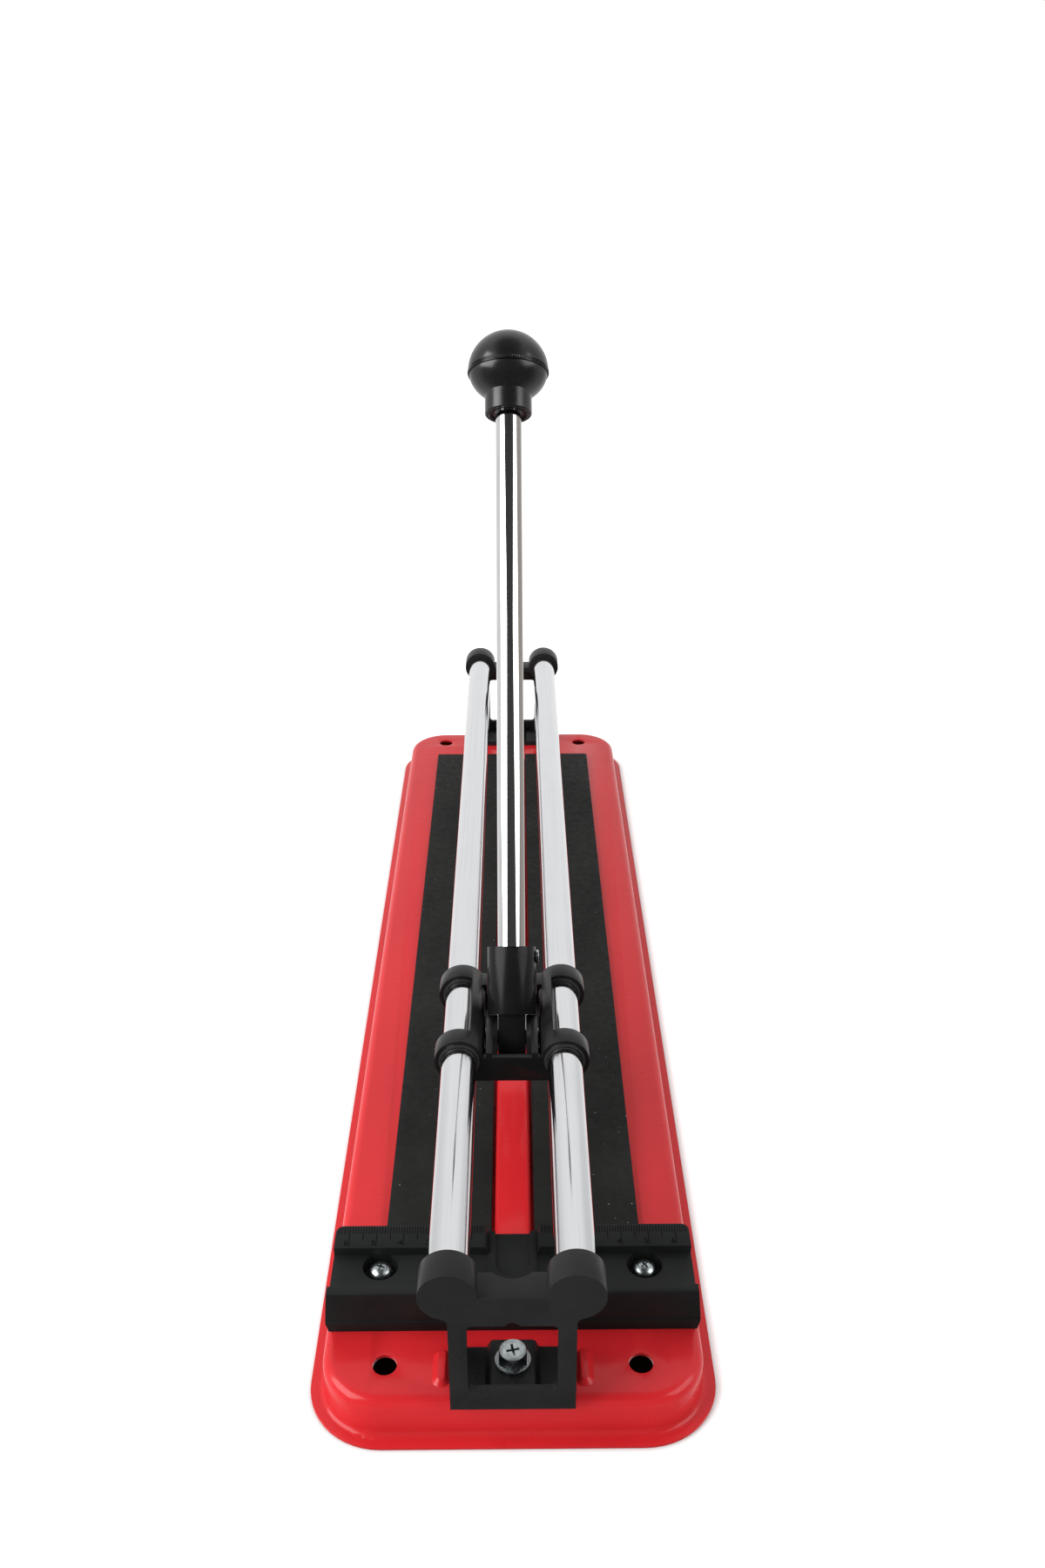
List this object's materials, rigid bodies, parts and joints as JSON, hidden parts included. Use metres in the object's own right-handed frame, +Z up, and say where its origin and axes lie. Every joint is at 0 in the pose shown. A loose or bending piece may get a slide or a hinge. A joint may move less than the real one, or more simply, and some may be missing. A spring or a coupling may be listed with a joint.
{
  "type": "manual tile cutter",
  "caption": "Hand-operated tile cutter: pressed steel tray with rubber pads, ruled fence, twin chrome rails and a sliding carriage with a ball-topped scoring lever.",
  "frame": {"origin": "middle of the tray on the bench surface", "axes": "+Y along the rails from the fence to the far bracket, +Z up, +X to the right seen from the fence"},
  "size_m": [0.145, 0.553, 0.3198],
  "materials": {
    "tray_red": "glossy red powder coat on pressed steel",
    "pad_rubber": "matt black rubber sheet",
    "fence_black": "satin black moulding with pale rule marks",
    "bracket_black": "satin black moulding",
    "carriage_black": "satin black moulding",
    "head_black": "satin black paint on cast metal",
    "knob_black": "smooth satin black ball",
    "rail_chrome": "ground and polished, faint lengthwise streaks",
    "rod_chrome": "bright plated rod",
    "zinc": "zinc plated fasteners",
    "bush_plastic": "dark plain bearing plastic",
    "pin_steel": "bright turned steel",
    "wheel_steel": "hardened ground disc",
    "foot_steel": "pressed and plated steel"
  },
  "bodies": {
    "frame": {"base_plate": "tray_red", "left_pad": "pad_rubber", "right_pad": "pad_rubber", "fence": "fence_black", "fence_screws": "zinc", "fence_nuts": "zinc", "near_bracket": "bracket_black", "far_bracket": "bracket_black", "near_bolt": "zinc", "far_bolt": "zinc", "bracket_nuts": "zinc", "left_rail": "rail_chrome", "right_rail": "rail_chrome"},
    "carriage": {"carriage": "carriage_black", "slide_bushes": "bush_plastic", "pivot_pin": "pin_steel", "pivot_clip": "pin_steel"},
    "lever": {"lever_head": "head_black", "clamp_screw": "zinc", "lever_rod": "rod_chrome", "knob_base": "knob_black", "knob_cap": "knob_black", "wheel_axle": "pin_steel", "axle_clip": "pin_steel"},
    "wheel": {"cutting_wheel": "wheel_steel"},
    "breaker": {"breaker_foot": "foot_steel"}
  },
  "joints": [
    {"name": "carriage_slide", "type": "slide", "parent": "frame", "child": "carriage", "axis": [0, 1, 0], "range_m": [-0.08, 0.359]},
    {"name": "lever_pivot", "type": "hinge", "parent": "carriage", "child": "lever", "pos_m": [0, -0.131, 0.0635], "axis": [-1, 0, 0], "range_deg": [-9, 30]},
    {"name": "wheel_spin", "type": "hinge", "parent": "lever", "child": "wheel", "pos_m": [0, -0.10691, 0.04399], "axis": [1, 0, 0], "continuous": true},
    {"name": "breaker_swing", "type": "hinge", "parent": "lever", "child": "breaker", "pos_m": [0, -0.10691, 0.04399], "axis": [1, 0, 0], "range_deg": [-76, 0]}
  ]
}
